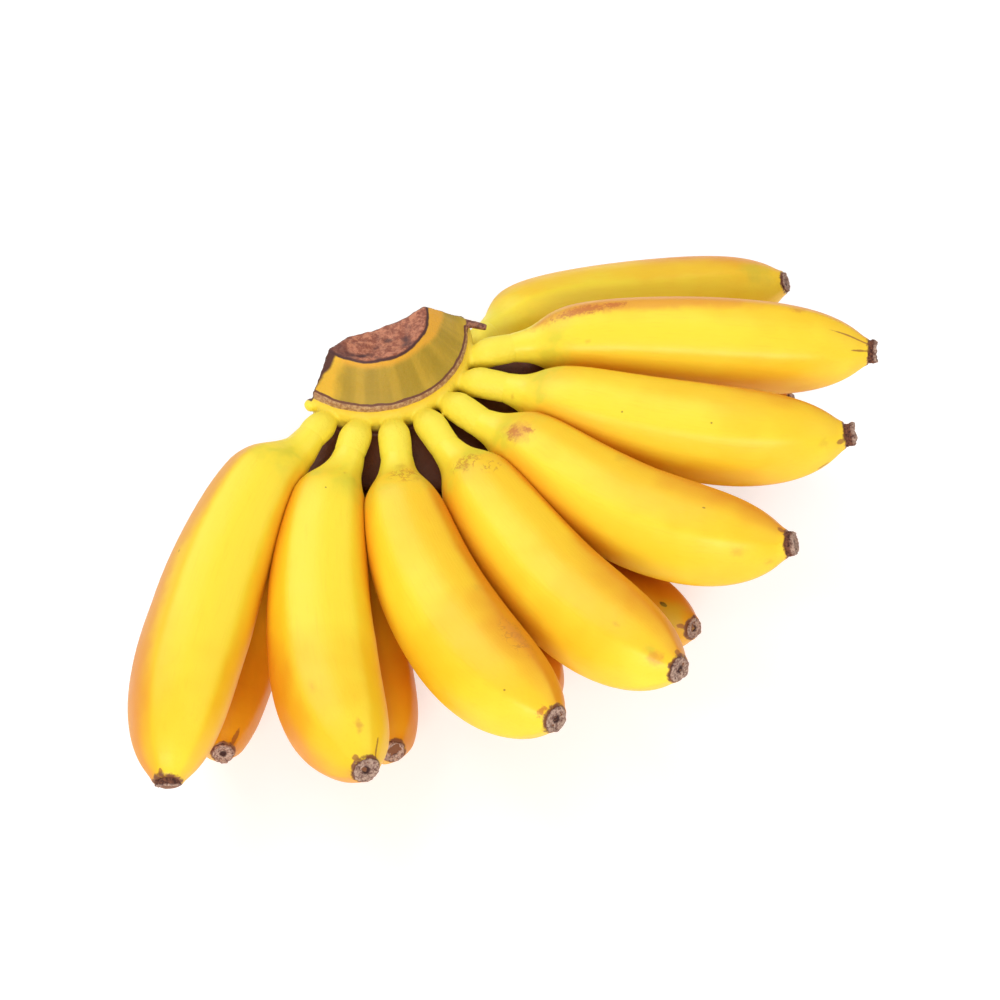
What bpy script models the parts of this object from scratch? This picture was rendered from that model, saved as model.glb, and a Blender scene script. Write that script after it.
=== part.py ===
"""A hand of fourteen baby bananas lying on a table, crown at the back. Metres, +Z up."""

import math

import bmesh
import bpy
import numpy as np
from mathutils import Vector

MM = 0.001

# Where the hand sits, so that its box is centred on the origin
COLLAR_CENTRE = np.array([-3.5, 63.9])
CROWN_AXIS = np.array([-5.1, 70.4])

# Bearings are degrees from -Y towards +X, slopes are degrees above level.
# root: bearing of the stalk on its circle about the crown's axis; leave and
# arrive: the way the banana runs as it leaves the crown and as it reaches its
# blossom end. tip: the end of the banana, measured from the collar centre.
# neck: how much longer its stalk is than the girths below allow for.
UPPER_ROOTS = dict(radius=29.6, height=44.0)
LOWER_ROOTS = dict(radius=31.0, height=31.0)
UPPER_BANANAS = [
    dict(root=-56.9, neck=-0.6, leave=(-67, -3), tip=(-125, -93, 43), arrive=(-31, 4), girth=15.0, roll=20),
    dict(root=-38.3, neck=1.5, leave=(-50, -9), tip=(-80, -121.5, 50), arrive=(-3, 26), girth=15.5, roll=32),
    dict(root=-20.3, neck=3.2, leave=(-28, -11), tip=(-30, -136.5, 51), arrive=(14, 24), girth=15.7, roll=36),
    dict(root=-3.4, neck=4.3, leave=(0, -12), tip=(6.5, -142, 51), arrive=(16, 24), girth=15.5, roll=34),
    dict(root=12.9, neck=4.6, leave=(21, -9), tip=(58, -126.5, 51), arrive=(46, 20), girth=15.3, roll=36),
    dict(root=29.3, neck=4.4, leave=(48, -6), tip=(97, -105, 50.5), arrive=(56, 15), girth=15.0, roll=40),
    dict(root=46.9, neck=3.4, leave=(76, -4), tip=(123, -83.5, 49), arrive=(48, 10), girth=14.7, roll=50),
]
LOWER_BANANAS = [
    dict(root=-48.2, neck=-1, leave=(-64, -22), tip=(-105, -82, 22), arrive=(-18, 22), girth=13.4, roll=0),
    dict(root=-29.7, neck=1, leave=(-48, -26), tip=(-65, -108.5, 24), arrive=(-10, 30), girth=13.8, roll=15),
    dict(root=-11.6, neck=2.4, leave=(-16, -28), tip=(-18.5, -117.5, 25), arrive=(0, 34), girth=13.6, roll=0),
    dict(root=6.1, neck=3.1, leave=(4, -28), tip=(29, -121.5, 24), arrive=(22, 30), girth=13.6, roll=20),
    dict(root=23.2, neck=3.1, leave=(28, -26), tip=(67, -103.5, 24), arrive=(44, 28), girth=13.8, roll=5),
    dict(root=40.1, neck=2.4, leave=(60, -24), tip=(105, -70.5, 23), arrive=(52, 22), girth=13.6, roll=0),
    dict(root=64.3, height=38, neck=0.4, leave=(129, -14), tip=(133, -31, 25), arrive=(50, 14), girth=14.4, roll=10),
]
HANDLE_SHARE = 0.38
SETTLE_DEPTH = 0.5
SETTLE_ROUNDS = 6

# Girth along a banana: (share of the length, share of the largest radius)
BODY_PROFILE = [
    (0.00, 0.31), (0.06, 0.305), (0.12, 0.335), (0.15, 0.43), (0.18, 0.60), (0.22, 0.76),
    (0.29, 0.86), (0.42, 0.93), (0.54, 0.985), (0.65, 1.00), (0.74, 0.975), (0.82, 0.90),
    (0.885, 0.765), (0.93, 0.61), (0.955, 0.46), (0.972, 0.31), (1.0, 0.27),
]
RING_PLACES = [
    0.09, 0.125, 0.155, 0.18, 0.21, 0.25, 0.30, 0.37, 0.45, 0.54, 0.62, 0.70, 0.77, 0.83, 0.88, 0.92, 0.95,
]
BODY_END = 0.972
SIDES = 15
RIDGES = 5
RIDGE_HEIGHT = 0.03
SPINE_SAMPLES = 81
CURVE_SAMPLES = 324

STALK_LENGTH = 5.0
# Rings of a stalk, from inside the crown outwards: (run from the root circle, share of its radius, drop)
STALK_RINGS = [(-9.0, 0.5, 6.0), (-2.0, 0.62, 4.0), (1.0, 0.75, 2.0), (3.0, 0.92, 0.8)]
JOINT_GAP = 0.3
NEIGHBOUR_GAP = 0.5
PRESS_STEPS = 14

# Crown outline, bottom to top: (height, radius); the step at 46 to 49 is the leaf scar
CROWN_PROFILE = [
    (19.6, 13.0), (22.0, 19.5), (27.0, 25.0), (32.0, 27.4), (37.0, 29.0), (41.0, 29.8), (43.0, 29.8),
    (44.8, 29.4), (46.2, 28.3), (46.9, 29.0), (48.5, 28.2), (49.4, 27.2), (50.3, 26.0), (52.0, 24.6),
    (56.0, 21.2), (60.5, 17.0), (64.0, 13.5),
]
CROWN_LEAN_START = 49.0
CROWN_LEAN = -0.22
CROWN_FOOT_HEIGHT = 19.0
CROWN_TOP_HEIGHT = 65.0
CROWN_SIDES = 44
SCOOP_RADIUS = 40.0
SCOOP_CENTRE = (-6.0, 67.4, 96.0)
SCOOP_SUBDIVISIONS = 4
# The two cuts at the back: (place, turn about Z)
BACK_CUTS = [((-16.0, 67.0, 60.0), 20.0), ((-8.0, 66.4, 60.0), -9.5)]
BACK_CUT_SIZE = 90.0
SLIVER_START = (17.5, 61.8, 48.9)
SLIVER_END = (25.7, 54.2, 47.6)
SLIVER_RADII = (1.3, 0.75)
SLIVER_SIDES = 8
NUB_PLACE = (-33.4, 60.0, 43.6)
NUB_RADIUS = 2.4
NUB_SUBDIVISIONS = 2

TIP_SIDES = 10
TIP_FLARE = 1.06
TIP_RIM = 0.86
TIP_HOLLOW = 0.5


def clear_scene():
    for obj in list(bpy.data.objects):
        bpy.data.objects.remove(obj, do_unlink=True)


def material(name, colour, roughness):
    made = bpy.data.materials.new(name)
    made.use_nodes = True
    shader = made.node_tree.nodes["Principled BSDF"]
    shader.inputs["Base Color"].default_value = (*colour, 1)
    shader.inputs["Roughness"].default_value = roughness
    return made


def heading(bearing, slope):
    turn, rise = math.radians(bearing), math.radians(slope)
    return np.array([math.sin(turn) * math.cos(rise), -math.cos(turn) * math.cos(rise), math.sin(rise)])


def profile_radius(places, girth):
    shares = np.array(BODY_PROFILE)
    return np.interp(places, shares[:, 0], shares[:, 1]) * girth


class Spine:
    """The centre line of one banana, with a frame and a radius at evenly spaced places."""

    def __init__(self, values, roots, drop=0.0):
        turn = math.radians(values["root"])
        root = np.array([
            CROWN_AXIS[0] + roots["radius"] * math.sin(turn),
            CROWN_AXIS[1] - roots["radius"] * math.cos(turn),
            values.get("height", roots["height"]),
        ])
        tip = np.array([COLLAR_CENTRE[0] + values["tip"][0], COLLAR_CENTRE[1] + values["tip"][1], values["tip"][2]])
        reach = np.linalg.norm(tip - root) * HANDLE_SHARE
        lowered = np.array([0, 0, drop])
        near = root + heading(*values["leave"]) * reach - lowered
        far = tip - heading(*values["arrive"]) * reach - lowered
        t = np.linspace(0, 1, CURVE_SAMPLES)[:, None]
        curve = (1 - t) ** 3 * root + 3 * (1 - t) ** 2 * t * near + 3 * (1 - t) * t**2 * far + t**3 * tip
        run = np.concatenate([[0], np.cumsum(np.linalg.norm(np.diff(curve, axis=0), axis=1))])
        self.length = run[-1]
        self.places = np.linspace(0, 1, SPINE_SAMPLES)
        self.points = self.at(run / self.length, curve, self.places)
        along = np.gradient(self.points, axis=0)
        self.along = along / np.linalg.norm(along, axis=1)[:, None]
        side = np.cross(self.along, [0, 0, 1.0])
        self.side = side / np.linalg.norm(side, axis=1)[:, None]
        self.up = np.cross(self.side, self.along)
        self.body_share = 1 - values["neck"] / self.length
        self.radii = profile_radius(1 - (1 - self.places) / self.body_share, values["girth"])
        self.roll = math.radians(values["roll"])
        self.root_direction = heading(*values["leave"])

    @staticmethod
    def at(known, rows, places):
        return np.stack([np.interp(places, known, rows[:, k]) for k in range(3)], axis=-1)

    def ridged(self, angle):
        return 1 + RIDGE_HEIGHT * np.cos(RIDGES * (angle - self.roll))

    def ring(self, place, angles):
        """Centre, outward directions and radii of one ring; angle 0 points up."""
        centre, side, up = (self.at(self.places, rows, place) for rows in (self.points, self.side, self.up))
        outward = np.sin(angles)[:, None] * side + np.cos(angles)[:, None] * up
        return centre, outward, np.interp(place, self.places, self.radii) * self.ridged(angles)

    def clearance(self, points):
        """How far outside this banana's unpressed skin each point lies."""
        offset = points[:, None] - self.points[None]
        distance = np.linalg.norm(offset, axis=2)
        nearest = np.argmin(distance - self.radii[None], axis=1)
        rows = np.arange(len(points))
        outward = offset[rows, nearest]
        angle = np.arctan2(np.sum(outward * self.side[nearest], axis=1), np.sum(outward * self.up[nearest], axis=1))
        return distance[rows, nearest] - self.radii[nearest] * self.ridged(angle)


def settled_spine(values):
    """A lower banana, lowered until its skin reaches just below the table."""
    # how much of a shift of both handles reaches the middle of the curve
    answer = 6 * HANDLE_SHARE * (1 - HANDLE_SHARE)
    drop = 0.0
    for _ in range(SETTLE_ROUNDS):
        spine = Spine(values, LOWER_ROOTS, drop)
        lowest = np.min(spine.points[:, 2] - spine.radii * spine.ridged(math.pi))
        drop += (lowest + SETTLE_DEPTH) / answer
    return spine


def pressed_radii(spine, others, centres, outward, radii):
    """Each point is drawn in until it lies nearer its own skin than any neighbour's."""
    low, high = np.zeros(len(radii)), radii.copy()
    best = radii.copy()

    def fits(tried):
        points = centres + outward * tried[:, None]
        nearest = np.min([other.clearance(points) for other in others], axis=0)
        return nearest - (tried - radii) >= NEIGHBOUR_GAP

    free = fits(best)
    for _ in range(PRESS_STEPS):
        middle = (low + high) / 2
        good = fits(middle)
        low = np.where(good, middle, low)
        high = np.where(good, high, middle)
    return np.where(free, best, low)


def new_object(name, mesh, collection):
    obj = bpy.data.objects.new(name, mesh)
    collection.objects.link(obj)
    return obj


def own_collection(name):
    collection = bpy.data.collections.new(name)
    bpy.context.scene.collection.children.link(collection)
    return collection


def ringed_mesh(name, rings, first_pole, last_pole):
    """A closed body from a UV sphere whose rings and poles are moved into place."""
    sides = len(rings[0])
    shape = bmesh.new()
    bmesh.ops.create_uvsphere(shape, u_segments=sides, v_segments=len(rings) + 1, radius=1)
    turn = 2 * math.pi / sides
    for vertex in shape.verts:
        level = round((1 - math.acos(max(-1, min(1, vertex.co.z))) / math.pi) * (len(rings) + 1))
        if level == 0:
            vertex.co = Vector(first_pole) * MM
        elif level == len(rings) + 1:
            vertex.co = Vector(last_pole) * MM
        else:
            number = round(math.atan2(vertex.co.y, vertex.co.x) / turn) % sides
            vertex.co = Vector(rings[level - 1][number]) * MM
    if shape.calc_volume(signed=True) < 0:
        bmesh.ops.reverse_faces(shape, faces=shape.faces)
    mesh = bpy.data.meshes.new(name)
    shape.to_mesh(mesh)
    shape.free()
    return mesh


def rest_on_table(mesh):
    """Cuts the mesh off at the table and closes it, which leaves a small flat spot."""
    shape = bmesh.new()
    shape.from_mesh(mesh)
    everything = shape.verts[:] + shape.edges[:] + shape.faces[:]
    cut = bmesh.ops.bisect_plane(
        shape, geom=everything, dist=0.00001, plane_co=(0, 0, 0), plane_no=(0, 0, 1), clear_inner=True
    )
    edges = [item for item in cut["geom_cut"] if isinstance(item, bmesh.types.BMEdge)]
    bmesh.ops.contextual_create(shape, geom=edges)
    bmesh.ops.recalc_face_normals(shape, faces=shape.faces)
    shape.to_mesh(mesh)
    shape.free()


def banana(name, spine, others, skin, on_table):
    start = (STALK_LENGTH + JOINT_GAP) / spine.length
    angles = np.arange(SIDES) * 2 * math.pi / SIDES
    rings = []
    for place in [start, *(1 - (1 - place) * spine.body_share for place in RING_PLACES), BODY_END]:
        centre, outward, radii = spine.ring(place, angles)
        centres = np.repeat(centre[None], SIDES, axis=0)
        radii = pressed_radii(spine, others, centres, outward, radii)
        rings.append(centres + outward * radii[:, None])
    mesh = ringed_mesh(name, rings, rings[0].mean(axis=0), rings[-1].mean(axis=0))
    if on_table:
        rest_on_table(mesh)
    obj = new_object(name, mesh, own_collection(name))
    obj.data.materials.append(skin)


def blossom_end(name, spine, dried):
    start = BODY_END + JOINT_GAP / spine.length
    angles = np.arange(TIP_SIDES) * 2 * math.pi / TIP_SIDES + spine.roll
    levels = [(start, 1.0), ((start + 1) / 2, TIP_FLARE), (1.0, 1.0), (1.0, TIP_RIM)]
    rings = []
    for place, share in levels:
        centre, outward, radii = spine.ring(place, angles)
        rings.append(centre[None] + outward * radii[:, None] * share)
    hollow = spine.points[-1] - spine.along[-1] * TIP_HOLLOW
    mesh = ringed_mesh(name, rings, rings[0].mean(axis=0), hollow)
    obj = new_object(name, mesh, own_collection(name))
    obj.data.materials.append(dried)


def stalk_mesh(name, spine):
    """A stalk from inside the crown out to its banana, with a knuckle where it leaves the collar."""
    angles = np.arange(SIDES) * 2 * math.pi / SIDES
    centre, outward, radii = spine.ring(0, angles)
    rings = []
    for run, share, drop in STALK_RINGS:
        place = centre + spine.root_direction * run - np.array([0, 0, drop])
        rings.append(place[None] + outward * radii[:, None] * share)
    centre, outward, radii = spine.ring(STALK_LENGTH / spine.length, angles)
    rings.append(centre[None] + outward * radii[:, None])
    return ringed_mesh(name, rings, rings[0].mean(axis=0), rings[-1].mean(axis=0))


def tapered_mesh(name, start, end, radii):
    start, end = Vector(start), Vector(end)
    shape = bmesh.new()
    bmesh.ops.create_cone(
        shape, cap_ends=True, segments=SLIVER_SIDES, radius1=radii[0] * MM, radius2=radii[1] * MM,
        depth=(end - start).length * MM,
    )
    mesh = bpy.data.meshes.new(name)
    shape.to_mesh(mesh)
    shape.free()
    turned = (end - start).to_track_quat("Z", "Y").to_matrix().to_4x4()
    turned.translation = (start + end) / 2 * MM
    mesh.transform(turned)
    return mesh


def helper(name, mesh, collection):
    obj = new_object(name, mesh, collection)
    obj.hide_render = True
    obj.display_type = "WIRE"
    return obj


def boolean(obj, other, operation):
    modifier = obj.modifiers.new(other.name, "BOOLEAN")
    modifier.operation = operation
    modifier.solver = "EXACT"
    modifier.object = other


def crown(spines, skin):
    angles = np.arange(CROWN_SIDES) * 2 * math.pi / CROWN_SIDES
    round_about = np.stack([np.sin(angles), -np.cos(angles)], axis=1)
    rings = []
    for height, radius in CROWN_PROFILE:
        lean = np.array([CROWN_LEAN * max(0, height - CROWN_LEAN_START), 0])
        rings.append(np.column_stack([CROWN_AXIS + lean + round_about * radius, np.full(CROWN_SIDES, height)]))
    foot, top = (*CROWN_AXIS, CROWN_FOOT_HEIGHT), (*CROWN_AXIS, CROWN_TOP_HEIGHT)
    body = new_object("crown", ringed_mesh("crown", rings, foot, top), own_collection("crown"))
    body.data.materials.append(skin)
    helpers = own_collection("cutters")
    helpers.hide_render = True

    scoop = bmesh.new()
    bmesh.ops.create_icosphere(scoop, subdivisions=SCOOP_SUBDIVISIONS, radius=SCOOP_RADIUS * MM)
    bmesh.ops.translate(scoop, verts=scoop.verts, vec=Vector(SCOOP_CENTRE) * MM)
    scoop_mesh = bpy.data.meshes.new("scoop")
    scoop.to_mesh(scoop_mesh)
    scoop.free()
    boolean(body, helper("scoop", scoop_mesh, helpers), "DIFFERENCE")

    for number, (place, turn) in enumerate(BACK_CUTS, 1):
        back = bmesh.new()
        bmesh.ops.create_cube(back, size=BACK_CUT_SIZE * MM)
        bmesh.ops.translate(back, verts=back.verts, vec=(0, BACK_CUT_SIZE / 2 * MM, 0))
        back_mesh = bpy.data.meshes.new(f"back_cut_{number}")
        back.to_mesh(back_mesh)
        back.free()
        back_cut = helper(f"back_cut_{number}", back_mesh, helpers)
        back_cut.location = Vector(place) * MM
        back_cut.rotation_euler = (0, 0, math.radians(turn))
        boolean(body, back_cut, "DIFFERENCE")

    for number, spine in enumerate(spines, 1):
        name = f"stalk_{number}"
        boolean(body, helper(name, stalk_mesh(name, spine), helpers), "UNION")
    sliver = tapered_mesh("bract_sliver", SLIVER_START, SLIVER_END, SLIVER_RADII)
    boolean(body, helper("bract_sliver", sliver, helpers), "UNION")
    nub = bmesh.new()
    bmesh.ops.create_icosphere(nub, subdivisions=NUB_SUBDIVISIONS, radius=NUB_RADIUS * MM)
    bmesh.ops.translate(nub, verts=nub.verts, vec=Vector(NUB_PLACE) * MM)
    nub_mesh = bpy.data.meshes.new("nub")
    nub.to_mesh(nub_mesh)
    nub.free()
    boolean(body, helper("nub", nub_mesh, helpers), "UNION")


def main():
    clear_scene()
    peel = material("banana_peel", (0.85, 0.55, 0.03), 0.45)
    green_peel = material("crown_peel", (0.55, 0.48, 0.06), 0.55)
    dried = material("dried_blossom", (0.12, 0.07, 0.045), 0.8)
    spines = {f"upper_{n}": Spine(v, UPPER_ROOTS) for n, v in enumerate(UPPER_BANANAS, 1)}
    spines |= {f"lower_{n}": settled_spine(v) for n, v in enumerate(LOWER_BANANAS, 1)}
    for key, spine in spines.items():
        row, number = key.split("_")
        others = [other for name, other in spines.items() if name != key]
        banana(f"{row}_banana_{number}", spine, others, peel, row == "lower")
        blossom_end(f"{row}_tip_{number}", spine, dried)
    crown(list(spines.values()), green_peel)


main()
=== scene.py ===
import math

import bmesh
import bpy
import numpy as np
from mathutils import Matrix, Vector
from mathutils.bvhtree import BVHTree
from mathutils.geometry import interpolate_bezier


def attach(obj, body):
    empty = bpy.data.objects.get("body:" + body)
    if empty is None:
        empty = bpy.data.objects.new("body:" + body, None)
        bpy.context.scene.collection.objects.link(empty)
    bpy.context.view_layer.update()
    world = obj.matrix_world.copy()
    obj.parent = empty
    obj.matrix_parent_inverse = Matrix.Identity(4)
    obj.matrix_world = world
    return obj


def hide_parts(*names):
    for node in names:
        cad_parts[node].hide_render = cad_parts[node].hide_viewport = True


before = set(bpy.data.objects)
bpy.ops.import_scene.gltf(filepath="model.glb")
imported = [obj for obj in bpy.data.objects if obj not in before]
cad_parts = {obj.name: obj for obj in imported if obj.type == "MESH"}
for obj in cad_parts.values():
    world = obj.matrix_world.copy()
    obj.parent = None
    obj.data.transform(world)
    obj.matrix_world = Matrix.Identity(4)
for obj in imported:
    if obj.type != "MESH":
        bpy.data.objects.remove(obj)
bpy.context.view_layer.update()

mm = 0.001

# The hand as a whole: millimetres, and degrees from the front towards the right or above level
hand = {
    "collarCentre": (-3.5, 63.9),
    "upperRoots": (29.6, 44),   # radius about the crown's axis and height of the stalks of each row
    "lowerRoots": (31, 31),
    "rowSplit": 35,             # blossom ends of the upper row are higher than this
    "handleShare": 0.38,        # how far a banana keeps the way it leaves and arrives
    "settleDepth": 0.5,         # how far the lower row would sink into the table
    "settleRounds": 6,
    "settleEasing": 1.4136,     # each round lowers the handles by what is left over this
    "shoulderRun": [(0.12, 0), (0.15, 0.35), (0.19, 0.85), (0.23, 1), (0.32, 0.8), (0.6, 0)],
    "contactGap": 0.15,         # between two bananas that lean on each other
    "contactReach": 9,
    "contactRounds": 5,
    "curveSteps": 64,
    "curveSamples": 200,
}

# root: bearing of the stalk; neck: how much longer it is than the outline allows for;
# leave and arrive: the way the banana runs at each end; tip: its blossom end from the collar's centre;
# roll: how far its ridges are turned; tipOut: extra length of the dried end, and tipDroop its bend;
# shoulder: how far and to which side it juts out; paintedLightFrom: which way the side painted lemon as if
# lit faces;
# contactShade and greening: how strong the painted shade near a neighbour and the green at the stalk are
fingers = {
    "upper_banana_1": dict(
        root=-56.9, neck=-0.6, leave=(-67, -3), tip=(-125, -93, 43), arrive=(-31, 4), girth=15.0, roll=20,
        tipDroop=28, shoulder=(3.5, 70), paintedLightFrom=(0.15, -0.50, 0.85), contactShade=0.25,
    ),
    "upper_banana_2": dict(
        root=-38.3, neck=1.5, leave=(-50, -9), tip=(-80, -121.5, 50), arrive=(-3, 26), girth=15.5, roll=32,
        shoulder=(2.5, 60), paintedLightFrom=(0.05, -0.55, 0.83), contactShade=0.45,
    ),
    "upper_banana_3": dict(
        root=-20.3, neck=3.2, leave=(-28, -11), tip=(-30, -136.5, 51), arrive=(14, 24), girth=15.7, roll=36,
        shoulder=(1.5, 50),
    ),
    "upper_banana_4": dict(
        root=-3.4, neck=4.3, leave=(0, -12), tip=(6.5, -142, 51), arrive=(16, 24), girth=15.5, roll=34,
        shoulder=(1.5, -60),
    ),
    "upper_banana_5": dict(
        root=12.9, neck=4.6, leave=(21, -9), tip=(58, -126.5, 51), arrive=(46, 20), girth=15.3, roll=36,
        shoulder=(1.8, -70), tipOut=1.5,
    ),
    "upper_banana_6": dict(
        root=29.3, neck=4.4, leave=(48, -6), tip=(97, -105, 50.5), arrive=(56, 15), girth=15.0, roll=40,
        shoulder=(1.2, 70), tipOut=2.2, paintedLightFrom=(-0.35, -0.62, 0.70), contactShade=0.5,
    ),
    "upper_banana_7": dict(
        root=46.9, neck=3.4, leave=(76, -4), tip=(123, -83.5, 49), arrive=(48, 10), girth=14.7, roll=50,
        tipOut=1.5, paintedLightFrom=(-0.30, -0.65, 0.70), contactShade=0.4,
    ),
    "lower_banana_1": dict(
        root=-48.2, neck=-1, leave=(-64, -22), tip=(-105, -82, 22), arrive=(-18, 22), girth=13.4, roll=0
    ),
    "lower_banana_2": dict(
        root=-29.7, neck=1, leave=(-48, -26), tip=(-65, -108.5, 24), arrive=(-10, 30), girth=13.8, roll=15
    ),
    "lower_banana_3": dict(
        root=-11.6, neck=2.4, leave=(-16, -28), tip=(-18.5, -117.5, 25), arrive=(0, 34), girth=13.6, roll=0
    ),
    "lower_banana_4": dict(
        root=6.1, neck=3.1, leave=(4, -28), tip=(29, -121.5, 24), arrive=(22, 30), girth=13.6, roll=20
    ),
    "lower_banana_5": dict(
        root=23.2, neck=3.1, leave=(28, -26), tip=(67, -103.5, 24), arrive=(44, 28), girth=13.8, roll=5
    ),
    "lower_banana_6": dict(
        root=40.1, neck=2.4, leave=(60, -24), tip=(105, -70.5, 23), arrive=(52, 22), girth=13.6, roll=0
    ),
    "lower_banana_7": dict(
        root=64.3, neck=0.4, rootHeight=38, leave=(129, -14), tip=(133, -31, 25), arrive=(50, 14),
        girth=14.15, roll=10, paintedLightFrom=(0.0, -0.75, 0.66), contactShade=0.3, greening=0.2,
    ),
}


def putDown():
    if bpy.context.mode != "OBJECT":
        bpy.ops.object.mode_set(mode="OBJECT")
    bpy.ops.object.select_all(action="DESELECT")


def pickUp(*pieces):
    putDown()
    for piece in pieces:
        piece.select_set(True)
    bpy.context.view_layer.objects.active = pieces[-1]


def selectPoints(piece, wanted):
    # in edit mode: selects the points that pass the test, with the edges and faces between them
    shape = bmesh.from_edit_mesh(piece.data)
    for point in shape.verts:
        point.select = wanted(point.co)
    shape.select_flush_mode()
    bmesh.update_edit_mesh(piece.data)


def newPiece(name):
    piece = bpy.context.object
    piece.name = name
    piece.data.name = name
    return piece


def applyPlace(piece):
    pickUp(piece)
    bpy.ops.object.transform_apply(location=True, rotation=True, scale=True)


def addModifier(piece, kind, **settings):
    # adds a modifier, sets it and applies it at once
    pickUp(piece)
    bpy.ops.object.modifier_add(type=kind)
    modifier = piece.modifiers[-1]
    for setting, value in settings.items():
        setattr(modifier, setting, value)
    bpy.ops.object.modifier_apply(modifier=modifier.name)


def roundOff(piece, levels):
    addModifier(piece, "SUBSURF", levels=levels, render_levels=levels)


def roughen(piece, size, depth):
    texture = bpy.data.textures.new(piece.name + "_relief", "CLOUDS")
    texture.noise_scale = size * mm
    addModifier(
        piece, "DISPLACE", texture=texture, texture_coords="LOCAL", strength=depth * mm, mid_level=0.5
    )


def alongX(run):
    return (run, 0, 0)


acrossX = (0, math.pi / 2, 0)


def drawPiece(name, sides, stations, step=alongX, turn=acrossX):
    # a filled ring is drawn out to each station in turn: (place, radius) in millimetres;
    # the piece is left in edit mode
    place, radius = stations[0]
    centre = Vector(step(place))
    putDown()
    bpy.ops.mesh.primitive_circle_add(
        vertices=sides, radius=radius * mm, fill_type="NGON", location=centre * mm, rotation=turn
    )
    piece = newPiece(name)
    applyPlace(piece)
    bpy.ops.object.mode_set(mode="EDIT")
    bpy.ops.mesh.select_all(action="SELECT")
    for (place, radius), (nextPlace, nextRadius) in zip(stations, stations[1:]):
        target = Vector(step(nextPlace))
        bpy.ops.mesh.extrude_region_move(TRANSFORM_OT_translate={"value": (target - centre) * mm})
        centre = target
        growth = nextRadius / radius
        bpy.ops.transform.resize(value=(growth, growth, growth), center_override=centre * mm)
    return piece


def faceOut():
    bpy.ops.mesh.select_all(action="SELECT")
    bpy.ops.mesh.normals_make_consistent(inside=False)
    bpy.ops.object.mode_set(mode="OBJECT")


def layAttribute(piece):
    # keeps where each point lies on the straight piece, for patterns that follow the skin
    places = np.empty(len(piece.data.vertices) * 3, np.float32)
    piece.data.vertices.foreach_get("co", places)
    piece.data.attributes.new("straight", "FLOAT_VECTOR", "POINT").data.foreach_set("vector", places)


def heading(bearing, slope):
    turn, rise = math.radians(bearing), math.radians(slope)
    return Vector((math.sin(turn) * math.cos(rise), -math.cos(turn) * math.cos(rise), math.sin(rise)))


# One straight banana, collar end at 0, that the fourteen are made from
bananaForm = {
    "length": 120,
    "girth": 15,              # largest radius
    "sides": 20,
    "ridges": 5,
    "ridgeHeight": 0.055,
    "ridgeCrease": 0.25,
    "ridgeReach": 0.05,       # share of the turn between two ridges, to each side
    "ridgesFrom": 0.1,        # share of the length
    "levels": 2,
    # share of the length and of the girth
    "outline": [
        (0.05, 0.12), (0.055, 0.23), (0.07, 0.29), (0.12, 0.335), (0.15, 0.43), (0.18, 0.60), (0.22, 0.76),
        (0.29, 0.86), (0.42, 0.93), (0.54, 0.985), (0.65, 1.00), (0.74, 0.975), (0.82, 0.90), (0.885, 0.765),
        (0.93, 0.60), (0.957, 0.46), (0.976, 0.33), (0.988, 0.275), (0.994, 0.25),
    ],
}


def modelBanana():
    form = bananaForm
    stations = [(share * form["length"], part * form["girth"]) for share, part in form["outline"]]
    banana = drawPiece("straight_banana", form["sides"], stations)
    ridgeTurn = 2 * math.pi / form["ridges"]
    firstRidge = form["ridgesFrom"] * form["length"] * mm

    def onRidge(place):
        turn = math.atan2(-place.y, place.z) / ridgeTurn
        return abs(turn - round(turn)) < form["ridgeReach"] and place.x > firstRidge

    bpy.ops.mesh.select_mode(type="EDGE")
    shape = bmesh.from_edit_mesh(banana.data)
    for edge in shape.edges:
        edge.select = all(onRidge(point.co) for point in edge.verts)
    bmesh.update_edit_mesh(banana.data)
    bpy.ops.transform.edge_crease(value=form["ridgeCrease"])
    grown = 1 + form["ridgeHeight"]
    bpy.ops.transform.resize(value=(1, grown, grown), center_override=(0, 0, 0))
    bpy.ops.mesh.select_mode(type="VERT")
    faceOut()
    roundOff(banana, form["levels"])
    layAttribute(banana)
    return banana


def inUpperRow(finger):
    return finger["tip"][2] > hand["rowSplit"]


def handlesOf(finger, drop=0):
    # the two ends of a banana's centre line and the handles between them, in metres
    turn = math.radians(finger["root"])
    radius, height = hand["upperRoots" if inUpperRow(finger) else "lowerRoots"]
    root = Vector((*crownForm["axis"], 0)) + Vector((math.sin(turn), -math.cos(turn), 0)) * radius
    root.z = finger.get("rootHeight", height)
    tip = Vector((*hand["collarCentre"], 0)) + Vector(finger["tip"])
    reach = (tip - root).length * hand["handleShare"]
    near = root + heading(*finger["leave"]) * reach - Vector((0, 0, drop))
    far = tip - heading(*finger["arrive"]) * reach - Vector((0, 0, drop))
    return [place * mm for place in (root, near, far, tip)]


def runOf(handles):
    # places along the centre line and the share of its length at each
    places = np.array(interpolate_bezier(*handles, hand["curveSamples"]))
    run = np.concatenate([[0], np.cumsum(np.linalg.norm(np.diff(places, axis=0), axis=1))])
    return places, run[-1], run / run[-1]


def settledHandles(finger):
    # the lower row rests on the table: its centre lines are lowered until the skin reaches it
    if inUpperRow(finger):
        return handlesOf(finger)
    outline = np.array(bananaForm["outline"])
    drop = 0
    for _ in range(hand["settleRounds"]):
        handles = handlesOf(finger, drop)
        places, length, shares = runOf(handles)
        body = 1 - finger["neck"] * mm / length
        radii = np.interp(1 - (1 - shares) / body, *outline.T) * finger["girth"]
        lowest = np.min(places[:, 2] / mm - radii)
        drop += (lowest + hand["settleDepth"]) / hand["settleEasing"]
    return handles


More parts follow.
